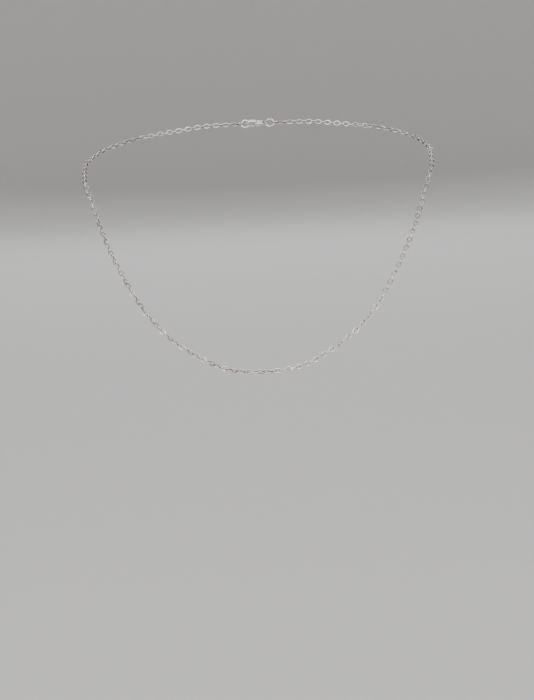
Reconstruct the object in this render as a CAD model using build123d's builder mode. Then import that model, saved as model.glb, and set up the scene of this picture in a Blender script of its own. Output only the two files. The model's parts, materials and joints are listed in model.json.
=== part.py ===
from build123d import *

import os
from math import atan2, cos, dist, radians, sin, sqrt

# A chain necklace: flat oval cable links in one closed loop, as it lies over the shoulders,
# with a lobster clasp at the nape. Millimetres. +Z is up, -Y is the front and -X is "left".
# The origin lies midway between the two shoulders, level with where the chain crosses them.

# ---- How the loop lies ----
half_span = 76.0  # centre line to where the chain crosses a shoulder
front_drop = 79.0  # bottom of the loop below the shoulders
front_reach = 87.0  # bottom of the loop ahead of the shoulders
nape_rise = 15.0  # clasp above the shoulders
nape_setback = 42.0  # clasp behind the shoulders
shoulder_heading = (0.04, 0.94, 0.34)  # the way the chain runs as it crosses a shoulder
chest_facing = Vector(0, -0.99, 0.16)  # the way a flat link's face looks over the chest
nape_facing = Vector(0, 0.51, 0.86)  # and at the nape

# Shares of the span, reach and drop, from the bottom up one side of the chest
chest_curve = [(0.0, -1.0, -1.0), (0.29, -0.89, -0.96), (0.54, -0.76, -0.81), (0.72, -0.62, -0.59)]
chest_curve += [(0.855, -0.445, -0.355), (0.95, -0.24, -0.15), (1.0, 0.0, 0.0)]
# Shares of the span, setback and rise, from a shoulder towards the nape
neck_curve = [(1.0, 0.0, 0.0), (0.955, 0.38, 0.33), (0.77, 0.755, 0.67), (0.42, 0.955, 0.93)]

# ---- One link ----
link_length = 3.2
link_width = 2.35
link_thickness = 0.42
link_end_radius = 0.9  # outer arc at each end
end_band = 0.44  # metal between the hole and the link's end
side_band = 0.62
edge_round = 0.18
link_play = 0.12  # gap between two links that pull on each other

# ---- How the links turn along the chain ----
turn_per_link = 90.0
flat_link = 3  # this link, counted from the bottom to the right, lies flat on the chest
extra_twist = 18.0  # the left arm is twisted by this much more at every link
extra_quarters = 11  # quarter turns of extra twist in all, an odd number, so that both ends lie flat

# ---- How many links swing together ----
bottom_links = 5  # on each side of the centre line
front_levels = 9
shoulder_links = 8  # on each shoulder
back_levels = 7

# ---- Lobster clasp, with its own x from the hook towards the tail and y towards the lever ----
hook_radius = 2.3  # centre line of the hook
hook_bar_radius = 0.65
hook_tip_angle = 97.0  # from the tail, round the hook's centre
hook_root_angle = 325.0
shoulder_centre = (2.5, 0.35)  # the widest part of the body
shoulder_radius = 1.75
tail_distance = 4.7
tail_radius = 0.95
body_thickness = 1.9
body_round = 0.4
eye_distance = 6.2  # hook's centre to the eye in the tail
eye_radius = 1.4
eye_hole_radius = 0.75
eye_thickness = 0.9
pin_centre = (2.25, 1.15)
pin_radius = 0.25
pin_head = 0.05  # each end of the pin stands out of the body by this much
lever_radius = 2.38  # centre line of the lever, about the hook's centre
lever_bar_radius = 0.36
lever_root_angle = 20.0
lever_eye_radius = 0.6
lever_play = 0.06
lever_tip_gap = 0.08
lever_slot_reach = 0.9  # from the pin to the ends of the slot
heel_size = (0.32, 0.5)
tab_size = (1.2, 0.9)
tab_thickness = 0.6
tab_angle = 50.0
tab_distance = 2.95
spring_bore_radius = 0.36
spring_bore_length = 1.35
spring_radius = 0.26
spring_wire_radius = 0.05
spring_turns = 6

# ---- The ring at each end of the chain ----
ring_radius = 1.85  # centre line
ring_bar_radius = 0.35
ring_play = 0.07
ring_cut_angle = 3.0

# ---- Worked out ----
hole_length = link_length - 2 * end_band
hole_width = link_width - 2 * side_band
nominal_pitch = hole_length - link_play
half_ring_to_link = (ring_bar_radius + end_band / 2 + link_play) / 2
ring_in_hook = hook_radius - hook_bar_radius - ring_bar_radius - ring_play
ring_bow = ring_radius - sqrt(ring_radius**2 - eye_thickness**2 / 4)  # over the eye's thickness
ring_in_eye = eye_distance + eye_hole_radius - ring_bar_radius - ring_play - ring_bow
hook_reach = ring_in_hook + 2 * ring_radius - half_ring_to_link  # hook's centre to the last link
eye_reach = ring_in_eye + 2 * ring_radius - half_ring_to_link
clasp_half_length = (hook_reach + eye_reach) / 2
clasp_centre = ((hook_reach - eye_reach) / 2, nape_setback, nape_rise)
clasp_plane = Plane(origin=clasp_centre, x_dir=(1, 0, 0), z_dir=nape_facing)


# ---- The route of one half, from the bottom of the loop to the clasp's ring ----
chest_points = [(x * half_span, y * front_reach, z * front_drop) for x, y, z in chest_curve]
neck_points = [(x * half_span, y * nape_setback, z * nape_rise) for x, y, z in neck_curve]
neck_points += [(clasp_half_length, nape_setback, nape_rise)]

with BuildLine() as chest_line:
    Spline(*chest_points, tangents=[(1, 0, 0), shoulder_heading])
with BuildLine() as neck_line:
    Spline(*neck_points, tangents=[shoulder_heading, (-1, 0, 0)])

chest_length = chest_line.edge().length
neck_length = neck_line.edge().length
half_length = chest_length + neck_length
flat_pairs = round((half_length / nominal_pitch - flat_link) / 2)
links_per_side = flat_link + 2 * flat_pairs  # so that the last link lies flat and stands across its ring
pitch = half_length / links_per_side
twisted_links = round(extra_quarters * 90 / extra_twist)


def interlink(side, number):
    """Where a link meets the one above it, on the left (-1) or the right (1)."""
    distance = number * pitch
    if distance < chest_length:
        point = chest_line.edge().position_at(distance, position_mode=PositionMode.LENGTH)
    else:
        point = neck_line.edge().position_at(distance - chest_length, position_mode=PositionMode.LENGTH)
    return Vector(side * point.X, point.Y, point.Z)


def facing(number):
    """The way a link's face looks if it lies flat, from the chest's way round to the nape's."""
    share = max(0.0, number * pitch - chest_length) / neck_length
    return chest_facing * (1 - share) + nape_facing * share


def turn_of_link(side, number):
    """How far a link is turned about the chain, in degrees, from lying flat."""
    order = number - flat_link if side > 0 else 1 - number - flat_link
    twisted = min(max(-order, 0), twisted_links)
    return turn_per_link * order - extra_twist * twisted


def link_plane(side, number):
    """The plane of a link: its length along x and its flat faces across z."""
    lower, upper = interlink(side, number - 1), interlink(side, number)
    centre = (lower + upper) / 2
    along = ((upper - lower) * side).normalized()
    outward = facing(number)
    flat = (outward - along * outward.dot(along)).normalized()
    face = flat.rotate(Axis((0, 0, 0), along), turn_of_link(side, number))
    return Plane(origin=centre, x_dir=along, z_dir=face)


# ---- One link ----
def oval(half_length, half_width, end_radius):
    """An oval of two end arcs and two side arcs, each tangent to the next."""
    end_centre = half_length - end_radius
    spare = half_width - end_radius
    side_centre = (end_centre**2 - spare**2) / (2 * spare)
    angle = atan2(side_centre, end_centre)
    x, y = end_centre + end_radius * cos(angle), end_radius * sin(angle)
    ThreePointArc((-x, y), (0, half_width), (x, y))
    ThreePointArc((x, y), (half_length, 0), (x, -y))
    ThreePointArc((x, -y), (0, -half_width), (-x, -y))
    ThreePointArc((-x, -y), (-half_length, 0), (-x, y))


with BuildPart() as link:
    with BuildSketch(Plane.XY.offset(-link_thickness / 2)):
        with BuildLine():
            oval(link_length / 2, link_width / 2, link_end_radius)
        make_face()
        SlotOverall(hole_length, hole_width, mode=Mode.SUBTRACT)
    extrude(amount=link_thickness)
    rims = link.edges().group_by(Axis.Z)
    fillet(rims[0] + rims[-1], min(edge_round, 0.45 * link_thickness))


# ---- Levels: lengths of chain that swing together, left and right ----
def shared_out(first, last, levels):
    """Splits links first to last into levels of nearly the same number of links."""
    count = last - first + 1
    ends = [first + round(count * step / levels) for step in range(levels + 1)]
    return [(start, end - 1) for start, end in zip(ends, ends[1:])]


first_on_shoulder = round(chest_length / pitch) - shoulder_links // 2 + 1
last_on_shoulder = first_on_shoulder + shoulder_links - 1
front_spans = shared_out(bottom_links + 1, first_on_shoulder - 1, front_levels)[::-1]
back_spans = shared_out(last_on_shoulder + 1, links_per_side, back_levels)

levels = {"shoulder": (first_on_shoulder, last_on_shoulder)}
levels |= {f"front_{step}": span for step, span in enumerate(front_spans, 1)}
levels |= {f"back_{step}": span for step, span in enumerate(back_spans, 1)}

os.makedirs("parts", exist_ok=True)


def chain_length(name, planes):
    """Writes one run of interlocked links, each a solid of its own."""
    with BuildPart() as run:
        with Locations(*planes):
            add(link.part)
    run.part.label = name
    export_step(run.part, f"parts/{name}.step")


for level, (first, last) in levels.items():
    for side, hand in ((-1, "left"), (1, "right")):
        chain_length(f"{level}_{hand}", [link_plane(side, number) for number in range(first, last + 1)])

bottom = [link_plane(side, number) for side in (-1, 1) for number in range(1, bottom_links + 1)]
chain_length("front_bottom", bottom)


# ---- Rings ----
def ring(name, distance):
    """A wire ring, cut through once, that stands across the clasp's flat faces."""
    hub = clasp_plane.from_local_coords((distance, 0, 0))
    with BuildPart() as wire:
        with BuildSketch(Plane(origin=hub, x_dir=clasp_plane.z_dir, z_dir=clasp_plane.x_dir)):
            with Locations((ring_radius, 0)):
                Circle(ring_bar_radius)
        revolve(axis=Axis(hub, clasp_plane.y_dir), revolution_arc=360 - ring_cut_angle)
    wire.part.label = name
    export_step(wire.part, f"parts/{name}.step")


ring("end_ring", -(ring_in_hook + ring_radius))
ring("jump_ring", ring_in_eye + ring_radius)


# ---- Clasp ----
def hook_bar(radius, bar_radius, start, end):
    """A round bar bent about the hook's centre, from one angle to another."""
    outward = clasp_plane.x_dir * cos(radians(start)) + clasp_plane.y_dir * sin(radians(start))
    section_plane = Plane(origin=clasp_plane.origin, x_dir=outward, z_dir=clasp_plane.z_dir.cross(outward))
    with BuildSketch(section_plane) as section:
        with Locations((radius, 0)):
            Circle(bar_radius)
    hook_axis = Axis(clasp_plane.origin, clasp_plane.z_dir)
    revolve(section.sketch, axis=hook_axis, revolution_arc=end - start)


def disc(centre, radius, thickness, mode=Mode.ADD):
    """A flat disc halfway through the clasp's thickness."""
    with BuildSketch(clasp_plane) as outline:
        with Locations(centre):
            Circle(radius)
    extrude(outline.sketch, amount=thickness / 2, both=True, mode=mode)


def block(low, high, thickness, mode=Mode.ADD):
    """A block between two corners, halfway through the clasp's thickness."""
    with BuildSketch(clasp_plane) as outline:
        with Locations(((low[0] + high[0]) / 2, (low[1] + high[1]) / 2)):
            Rectangle(high[0] - low[0], high[1] - low[1])
    extrude(outline.sketch, amount=thickness / 2, both=True, mode=mode)


def finish_piece(piece, name):
    """Labels a piece and writes it."""
    piece.label = name
    export_step(piece, f"parts/{name}.step")


pin_x, pin_y = pin_centre
tip_point = (hook_radius * cos(radians(hook_tip_angle)), hook_radius * sin(radians(hook_tip_angle)))
tip_reach = dist(tip_point, pin_centre)  # pin to the hook's tip
slot_thickness = 2 * (lever_bar_radius + lever_play)
slot_low = (-hook_radius, pin_y - lever_slot_reach)
slot_high = (pin_x + lever_slot_reach, hook_radius + hook_bar_radius)
heel_low = (pin_x, pin_y - lever_eye_radius - heel_size[1] / 4)
spring_start = pin_x + heel_size[0] + lever_play + spring_wire_radius
spring_end = slot_high[0] + spring_bore_length
spring_y = pin_y - lever_eye_radius / 2 - heel_size[1] / 2

# The hook and the lever part along an arc about the pin, so that the lever can swing inwards
with BuildPart() as clasp_body:
    with BuildSketch(clasp_plane):
        with Locations(shoulder_centre):
            Circle(shoulder_radius)
        with Locations((tail_distance, 0)):
            Circle(tail_radius)
        make_hull()
    extrude(amount=body_thickness / 2, both=True)
    rims = clasp_body.edges().group_by(Axis((0, 0, 0), clasp_plane.z_dir))
    fillet(rims[0] + rims[-1], body_round)
    disc((0, 0), hook_radius - hook_bar_radius, body_thickness, Mode.SUBTRACT)
    disc((eye_distance, 0), eye_radius, eye_thickness)
    disc((eye_distance, 0), eye_hole_radius, body_thickness, Mode.SUBTRACT)
    block(slot_low, slot_high, slot_thickness, Mode.SUBTRACT)
    hook_bar(hook_radius, hook_bar_radius, hook_tip_angle - 10, hook_root_angle)
    with BuildSketch(clasp_plane):
        with Locations(pin_centre):
            Circle(tip_reach)
        with Locations((-hook_radius, hook_radius)):
            Rectangle(2 * hook_radius + 1, 2 * hook_radius - 2, mode=Mode.INTERSECT)
    extrude(amount=body_thickness / 2, both=True, mode=Mode.SUBTRACT)
    disc(pin_centre, pin_radius, body_thickness, Mode.SUBTRACT)
    spring_bore_start = clasp_plane.from_local_coords((slot_high[0], spring_y, 0))
    with BuildSketch(Plane(origin=spring_bore_start, x_dir=clasp_plane.y_dir, z_dir=clasp_plane.x_dir)):
        Circle(spring_bore_radius)
    extrude(amount=spring_bore_length, mode=Mode.SUBTRACT)
finish_piece(clasp_body.part, "clasp_body")

with BuildPart() as clasp_lever:
    hook_bar(lever_radius, lever_bar_radius, lever_root_angle, hook_tip_angle + 20)
    disc(pin_centre, tip_reach - lever_tip_gap, body_thickness, Mode.INTERSECT)
    disc(pin_centre, lever_eye_radius, 2 * lever_bar_radius)
    block(heel_low, (pin_x + heel_size[0], pin_y), 2 * lever_bar_radius)
    with BuildSketch(clasp_plane):
        with PolarLocations(tab_distance, 1, start_angle=tab_angle):
            RectangleRounded(*tab_size, radius=tab_size[1] / 3)
    extrude(amount=tab_thickness / 2, both=True)
    disc(pin_centre, pin_radius + lever_play, body_thickness, Mode.SUBTRACT)
finish_piece(clasp_lever.part, "clasp_lever")

with BuildPart() as clasp_pin:
    disc(pin_centre, pin_radius, body_thickness + 2 * pin_head)
finish_piece(clasp_pin.part, "clasp_pin")

with BuildPart() as clasp_spring:
    spring_origin = clasp_plane.from_local_coords((spring_start, spring_y, 0))
    spring_height = spring_end - spring_start - 2 * spring_wire_radius
    with BuildLine() as coil:
        Helix(
            spring_height / spring_turns,
            spring_height,
            spring_radius,
            center=spring_origin,
            direction=clasp_plane.x_dir,
        )
    with BuildSketch(Plane(origin=coil.line @ 0, z_dir=coil.line % 0)):
        Circle(spring_wire_radius)
    sweep(is_frenet=True)
finish_piece(clasp_spring.part, "clasp_spring")
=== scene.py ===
import json
import math

import bpy
import numpy as np
from mathutils import Matrix, Vector


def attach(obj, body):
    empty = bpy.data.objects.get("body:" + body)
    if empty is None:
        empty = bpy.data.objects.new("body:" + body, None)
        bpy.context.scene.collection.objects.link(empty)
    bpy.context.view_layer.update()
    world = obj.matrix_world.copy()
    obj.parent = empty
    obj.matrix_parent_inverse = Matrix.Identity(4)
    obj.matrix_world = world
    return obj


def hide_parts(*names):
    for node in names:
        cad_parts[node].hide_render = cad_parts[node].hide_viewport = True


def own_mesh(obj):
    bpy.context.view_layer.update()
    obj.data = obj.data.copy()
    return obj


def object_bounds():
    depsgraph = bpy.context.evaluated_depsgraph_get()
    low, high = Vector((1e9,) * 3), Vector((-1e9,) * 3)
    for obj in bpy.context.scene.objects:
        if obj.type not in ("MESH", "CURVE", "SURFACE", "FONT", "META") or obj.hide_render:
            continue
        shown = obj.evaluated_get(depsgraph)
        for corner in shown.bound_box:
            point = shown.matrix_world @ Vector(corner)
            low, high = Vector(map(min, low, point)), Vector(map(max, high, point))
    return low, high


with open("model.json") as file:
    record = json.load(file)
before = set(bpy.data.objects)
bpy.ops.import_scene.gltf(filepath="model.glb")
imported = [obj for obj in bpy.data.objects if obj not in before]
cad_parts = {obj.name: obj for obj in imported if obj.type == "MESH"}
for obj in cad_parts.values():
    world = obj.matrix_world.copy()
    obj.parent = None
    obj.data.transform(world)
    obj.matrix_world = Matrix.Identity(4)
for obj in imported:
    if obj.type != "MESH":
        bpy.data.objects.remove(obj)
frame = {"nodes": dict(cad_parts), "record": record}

# A flat oval cable chain necklace with a lobster clasp, in polished steel. Metres.
# Each length of chain is rebuilt link by link on the places that the CAD links hold. The rings and
# the rest of the clasp keep their CAD meshes, and the spring is a copy of its mesh.

MM = 0.001
cad_low, cad_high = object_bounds()

# ---- One link ----
LINK_LENGTH, LINK_WIDTH = 3.2 * MM, 2.35 * MM
LINK_THICKNESS = 0.41 * MM  # 0.42 in the CAD, less a little room for the links that lean
PITCH = 2.2 * MM  # from one link's centre to the next
END_BAND, SIDE_BAND = 0.44 * MM, 0.62 * MM  # the metal beyond the hole
STATIONS_ROUND = 64  # round the link
STATIONS_BAR = 18  # round the bar
OUTER_SQUARENESS, HOLE_SQUARENESS = 2.0, 3.0  # 2 is an ellipse and more is a squarer oval
BAR_FLATNESS = 2.7  # 2 is a round bar and more is a flatter one
SEAM_WIDTH, SEAM_DEPTH = 0.06 * MM, 0.03 * MM  # the soldered joint in one side
LEAN_DEGREES = 2.5  # the most that a link is turned out of its place, about the chain
WELD_DISTANCE = 0.001 * MM  # CAD points closer than this are one point
SEED = 7

# ---- The photograph's viewpoint ----
VIEW_AZIMUTH, VIEW_ELEVATION, VIEW_ROLL = -1.1, 9.3, -2.8  # degrees
VIEW_DISTANCE = 0.64  # from the bottom of the chain
VIEW_LENS, VIEW_SENSOR = 83.6, 36  # mm
VIEW_RIGHT, VIEW_UP = 0.0012, 0.0098  # from the bottom of the chain to the middle of the view

# ---- Studio ----
FLOOR_BELOW = 0.113  # under the chain, where the foot of a display bust would stand
ROOM_RADIUS, ROOM_HEIGHT, CURVE_RADIUS = 3.2, 2.6, 1.2
ROOM_STATIONS, CURVE_STEPS = 72, 12
FLOOR_DISC = 0.02  # the radius of the floor's middle face
STUDIO_GREY = (0.56, 0.555, 0.55)
WHITE, WARM_WHITE, SOFT_WHITE = (1.0, 1.0, 1.0), (1.0, 0.975, 0.965), (1.0, 0.98, 0.97)
SOFT_LIGHTS = (  # name, place, size, watts, colour
    ("ceiling", (0.0, -0.4, 2.2), (3.0, 3.2), 30.0, WHITE),
    ("front", (0.0, -1.8, 0.6), (2.4, 1.6), 36.0, WARM_WHITE),
    ("front_left", (-1.8, -1.2, 0.6), (1.2, 1.6), 20.0, SOFT_WHITE),
    ("front_right", (1.8, -1.2, 0.6), (1.2, 1.6), 20.0, SOFT_WHITE),
    ("behind", (0.0, 1.9, 0.8), (2.0, 0.8), 18.0, WHITE),
)
WORLD_STRENGTH = 0.3

# ---- Colours ----
RECESS_PAINTED_SHADE = (0.05, 0.03, 0.028)  # painted shade, nearly black, in the links' holes


# ---- Shapes ----
def rounded(angles, squareness):
    """Cosines and sines drawn out towards a square's corners."""
    power = 2 / squareness
    x, y = np.cos(angles), np.sin(angles)
    return np.sign(x) * np.abs(x) ** power, np.sign(y) * np.abs(y) ** power


def ring_faces(around, section, first=0):
    """Quads of a closed ring of sections, each with the same number of points."""
    i = np.arange(around)[:, None]
    j = np.arange(section)[None, :]
    a, b = i * section + j, i * section + (j + 1) % section
    c, d = ((i + 1) % around) * section + (j + 1) % section, ((i + 1) % around) * section + j
    return np.stack([a, d, c, b], axis=-1).reshape(-1, 4) + first


def link_shape():
    """Points of one link about its centre, with its length along x, and how far each faces into its hole."""
    round_angles = np.arange(STATIONS_ROUND) * 2 * math.pi / STATIONS_ROUND
    bar_angles = np.arange(STATIONS_BAR) * 2 * math.pi / STATIONS_BAR
    x, y = rounded(round_angles, OUTER_SQUARENESS)
    outer = np.stack([x * LINK_LENGTH / 2, y * LINK_WIDTH / 2], axis=1)
    x, y = rounded(round_angles, HOLE_SQUARENESS)
    hole = np.stack([x * (LINK_LENGTH / 2 - END_BAND), y * (LINK_WIDTH / 2 - SIDE_BAND)], axis=1)
    middle, half_band = (outer + hole) / 2, (outer - hole) / 2
    seam = 1 - SEAM_DEPTH / LINK_THICKNESS * np.exp(-((middle[:, 0] / SEAM_WIDTH) ** 2)) * (middle[:, 1] > 0)
    across, through = rounded(bar_angles, BAR_FLATNESS)
    flat = middle[:, None, :] + half_band[:, None, :] * (across[None, :] * seam[:, None])[:, :, None]
    height = LINK_THICKNESS / 2 * through[None, :] * seam[:, None]
    points = np.concatenate([flat, height[:, :, None]], axis=2)
    # How far each point faces into the hole: the mask for the painted shade.
    inward = np.broadcast_to(np.clip(-across, 0, 1) ** 2, (STATIONS_ROUND, STATIONS_BAR))
    return points.reshape(-1, 3), inward.reshape(-1)


def places_in(node):
    """The place of each link in a CAD node: its centre, and its length, width and thickness directions."""
    data = frame["nodes"][node].data
    points = np.empty(len(data.vertices) * 3)
    data.vertices.foreach_get("co", points)
    points = points.reshape(-1, 3)
    keys, index = np.unique(np.round(points / WELD_DISTANCE).astype(np.int64), axis=0, return_inverse=True)
    index = index.reshape(-1)
    data.calc_loop_triangles()
    corners = np.empty(len(data.loop_triangles) * 3, dtype=np.int32)
    data.loop_triangles.foreach_get("vertices", corners)
    corners = index[corners].reshape(-1, 3)
    label = np.arange(len(keys))
    while True:
        lowest = label[corners].min(axis=1)
        before = label.copy()
        for corner in range(3):
            np.minimum.at(label, corners[:, corner], lowest)
        label = label[label]
        if (label == before).all():
            break
    places = []
    for solid in np.unique(label):
        own = points[label[index] == solid]
        own = np.unique(np.round(own, 9), axis=0)
        _, directions = np.linalg.eigh(np.cov((own - own.mean(axis=0)).T))
        thick, wide, long = directions.T
        along = own @ np.stack([long, wide, thick], axis=1)
        centre = np.stack([long, wide, thick], axis=1) @ ((along.min(axis=0) + along.max(axis=0)) / 2)
        places.append((centre, long, wide, np.cross(long, wide)))
    return places


# ---- Materials ----
def new_material(name):
    """A material with nodes, and its Principled shader."""
    material = bpy.data.materials.new(name)
    material.use_nodes = True
    return material, material.node_tree.nodes["Principled BSDF"]


def add_node(material, kind, **values):
    """A node with the named inputs set."""
    node = material.node_tree.nodes.new(kind)
    for name, value in values.items():
        node.inputs[name].default_value = value
    return node


def ramp(material, source, stops):
    """A colour ramp from (position, colour) stops, fed by a socket."""
    node = material.node_tree.nodes.new("ShaderNodeValToRGB")
    elements = node.color_ramp.elements
    while len(elements) < len(stops):
        elements.new(0.5)
    for element, (position, colour) in zip(elements, stops):
        element.position = position
        element.color = (*colour, 1) if isinstance(colour, tuple) else (colour, colour, colour, 1)
    material.node_tree.links.new(source, node.inputs["Fac"])
    return node.outputs["Color"]


def attribute(material, name):
    """A number that the mesh carries at each of its points, and 0 where it carries none."""
    node = material.node_tree.nodes.new("ShaderNodeAttribute")
    node.attribute_name = name
    return node.outputs["Fac"]


def mixed(material, fac, first, second, blend="MIX"):
    """Two colours mixed, each a socket or a plain colour."""
    node = material.node_tree.nodes.new("ShaderNodeMix")
    node.data_type, node.blend_type = "RGBA", blend
    material.node_tree.links.new(fac, node.inputs["Factor"])
    for socket, value in ((node.inputs[6], first), (node.inputs[7], second)):
        if isinstance(value, tuple):
            socket.default_value = (*value, 1)
        else:
            material.node_tree.links.new(value, socket)
    return node.outputs[2]


def polished_steel(name, bright, dull, smooth, rough, scratch_scale):
    """Bright steel: tone that drifts from place to place, fine polishing lines, and painted shade where it
    faces into holes.
    """
    material, shader = new_material(name)
    link = material.node_tree.links.new
    shader.inputs["Metallic"].default_value = 1.0
    place = material.node_tree.nodes.new("ShaderNodeTexCoord").outputs["Object"]
    drift = add_node(material, "ShaderNodeTexNoise", Scale=420.0, Detail=4.0, Roughness=0.55)
    link(place, drift.inputs["Vector"])
    colour = ramp(material, drift.outputs["Fac"], [(0.3, dull), (0.62, bright)])
    colour = mixed(material, attribute(material, "tone"), colour, dull)
    # Painted shade: the colour goes nearly black where the surface faces into a link's hole.
    link(mixed(material, attribute(material, "recess"), colour, RECESS_PAINTED_SHADE), shader.inputs["Base Color"])
    wear = add_node(material, "ShaderNodeTexNoise", Scale=1500.0, Detail=6.0, Roughness=0.6)
    link(place, wear.inputs["Vector"])
    link(ramp(material, wear.outputs["Fac"], [(0.35, smooth), (0.75, rough)]), shader.inputs["Roughness"])
    stretch = add_node(material, "ShaderNodeMapping", Scale=(1.0, 9.0, 3.0))
    link(place, stretch.inputs["Vector"])
    lines = add_node(material, "ShaderNodeTexNoise", Scale=scratch_scale, Detail=5.0, Roughness=0.7)
    link(stretch.outputs["Vector"], lines.inputs["Vector"])
    bump = add_node(material, "ShaderNodeBump", Strength=0.08, Distance=0.01 * MM)
    link(lines.outputs["Fac"], bump.inputs["Height"])
    link(bump.outputs["Normal"], shader.inputs["Normal"])
    return material


def painted(name, colour, rough):
    """A plain studio surface."""
    material, shader = new_material(name)
    shader.inputs["Base Color"].default_value = (*colour, 1)
    shader.inputs["Roughness"].default_value = rough
    return material


CHAIN_STEEL = polished_steel("chain_steel", (0.88, 0.84, 0.82), (0.42, 0.37, 0.35), 0.10, 0.26, 900.0)
CLASP_STEEL = polished_steel("clasp_steel", (0.86, 0.83, 0.81), (0.52, 0.48, 0.46), 0.12, 0.28, 700.0)
RING_STEEL = polished_steel("ring_steel", (0.86, 0.83, 0.81), (0.50, 0.46, 0.44), 0.10, 0.24, 800.0)


# ---- Chain ----
def mesh_object(name, points, faces, material, **carried):
    """A smooth mesh object, whose points carry the named numbers."""
    mesh = bpy.data.meshes.new(name)
    mesh.from_pydata(points.tolist(), [], faces)
    for label, values in carried.items():
        mesh.attributes.new(label, "FLOAT", "POINT").data.foreach_set("value", values)
    mesh.materials.append(material)
    mesh.polygons.foreach_set("use_smooth", [True] * len(mesh.polygons))
    mesh.update()
    made = bpy.data.objects.new(name, mesh)
    bpy.context.scene.collection.objects.link(made)
    return made


def at_an_end(centre, places):
    """Whether a link is the first or the last of its length, with a neighbour on one side only."""
    itself_and_neighbours = sum(np.linalg.norm(place[0] - centre) < 1.5 * PITCH for place in places)
    return itself_and_neighbours < 3


def chain_piece(node, body, shape, inward, chance):
    """The links of one CAD node, each in its place with its own tone, and a lean if not at an end."""
    points, faces, tones = [], [], []
    places = places_in(node)
    for centre, long, wide, thick in places:
        lean = 0
        if not at_an_end(centre, places):
            lean = math.radians(chance.uniform(-LEAN_DEGREES, LEAN_DEGREES))
        side = wide * math.cos(lean) + thick * math.sin(lean)
        face = thick * math.cos(lean) - wide * math.sin(lean)
        turn = 1 if chance.random() < 0.5 else -1
        points.append(centre + shape @ np.stack([long * turn, side * turn, face]))
        faces.append(ring_faces(STATIONS_ROUND, STATIONS_BAR, len(faces) * len(shape)))
        tones.append(np.full(len(shape), chance.random() ** 2))
    # Painted shade: how far each point faces into its link's hole, which darkens its colour.
    recess = np.tile(inward, len(points))
    points, faces, tones = (np.concatenate(parts) for parts in (points, faces, tones))
    piece = mesh_object(f"links_{node}", points, faces.tolist(), CHAIN_STEEL, tone=tones, recess=recess)
    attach(piece, body)
    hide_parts(node)


def spring_piece(node, body):
    """The clasp's spring, which the lever's heel presses towards its far end."""
    spring = frame["nodes"][node].copy()
    spring.data = spring.data.copy()
    spring.name = "pressed_spring"
    spring.data.materials.clear()
    spring.data.materials.append(CLASP_STEEL)
    bpy.context.scene.collection.objects.link(spring)
    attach(spring, body)
    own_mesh(spring)
    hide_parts(node)


link_points, link_inward = link_shape()
chance = np.random.default_rng(SEED)
for body, nodes in frame["record"]["behaviour"]["bodies"].items():
    for node in nodes:
        if node.startswith(("front_", "back_", "shoulder_")):
            chain_piece(node, body, link_points, link_inward, chance)
        elif node == "clasp_spring":
            spring_piece(node, body)
        else:
            data = frame["nodes"][node].data
            data.materials.clear()
            data.materials.append(RING_STEEL if node.endswith("_ring") else CLASP_STEEL)


# ---- Studio ----
floor_z = cad_low.z - FLOOR_BELOW


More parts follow.
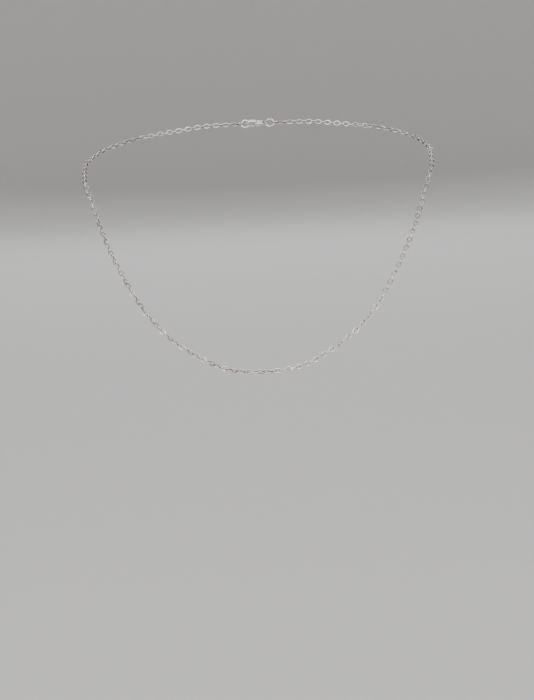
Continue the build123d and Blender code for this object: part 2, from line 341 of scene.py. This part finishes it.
def studio_room():
    """A pale floor that curves up into a pale wall all round."""
    steps = np.radians(np.linspace(0, 90, CURVE_STEPS + 1))
    curve = ROOM_RADIUS - CURVE_RADIUS + CURVE_RADIUS * np.sin(steps)
    reach = np.concatenate([[FLOOR_DISC], curve, [ROOM_RADIUS]])
    height = np.concatenate([[0.0], CURVE_RADIUS * (1 - np.cos(steps)), [ROOM_HEIGHT]])
    angles = np.arange(ROOM_STATIONS) * 2 * math.pi / ROOM_STATIONS
    x, y = reach[:, None] * np.cos(angles), reach[:, None] * np.sin(angles)
    z = np.broadcast_to(floor_z + height[:, None], x.shape)
    points = np.stack([x, y, z], axis=-1).reshape(-1, 3)
    i, j = np.arange(len(reach) - 1)[:, None], np.arange(ROOM_STATIONS)[None, :]
    a, b = i * ROOM_STATIONS + j, i * ROOM_STATIONS + (j + 1) % ROOM_STATIONS
    walls = np.stack([a, a + ROOM_STATIONS, b + ROOM_STATIONS, b], axis=-1).reshape(-1, 4)
    faces = walls.tolist() + [list(range(ROOM_STATIONS))]
    mesh_object("studio_room", points, faces, painted("studio_grey", STUDIO_GREY, 0.9))


def soft_light(name, place, size, power, colour, target):
    """A soft area light that looks at a point."""
    light = bpy.data.lights.new(name, "AREA")
    light.shape, light.size, light.size_y = "RECTANGLE", size[0], size[1]
    light.energy, light.color = power, colour
    made = bpy.data.objects.new(name, light)
    made.location = place
    made.rotation_euler = (target - Vector(place)).to_track_quat("-Z", "Y").to_euler()
    made.visible_camera = False
    bpy.context.scene.collection.objects.link(made)


def studio_lights():
    """A ceiling over the whole room, and broad soft boxes in front and behind."""
    target = (cad_low + cad_high) / 2
    for light in SOFT_LIGHTS:
        soft_light(*light, target)
    world = bpy.data.worlds.new("room")
    world.use_nodes = True
    world.node_tree.nodes["Background"].inputs["Color"].default_value = (*STUDIO_GREY, 1)
    world.node_tree.nodes["Background"].inputs["Strength"].default_value = WORLD_STRENGTH
    bpy.context.scene.world = world


def photograph_camera():
    """The camera at the photograph's viewpoint."""
    azimuth, elevation, roll = (math.radians(v) for v in (VIEW_AZIMUTH, VIEW_ELEVATION, VIEW_ROLL))
    level = Vector((math.sin(azimuth), math.cos(azimuth), 0))
    ahead = level * math.cos(elevation) - Vector((0, 0, math.sin(elevation)))
    right = ahead.cross(Vector((0, 0, 1))).normalized()
    up = right.cross(ahead)
    right, up = right * math.cos(roll) + up * math.sin(roll), up * math.cos(roll) - right * math.sin(roll)
    bottom = Vector((0, cad_low.y, cad_low.z))
    data = bpy.data.cameras.new("camera")
    data.lens, data.sensor_width = VIEW_LENS, VIEW_SENSOR
    camera = bpy.data.objects.new("camera", data)
    turn = Matrix((right, up, -ahead)).transposed().to_4x4()
    place = bottom - ahead * VIEW_DISTANCE + right * VIEW_RIGHT + up * VIEW_UP
    camera.matrix_world = Matrix.Translation(place) @ turn
    bpy.context.scene.collection.objects.link(camera)
    bpy.context.scene.camera = camera


studio_room()
studio_lights()
photograph_camera()
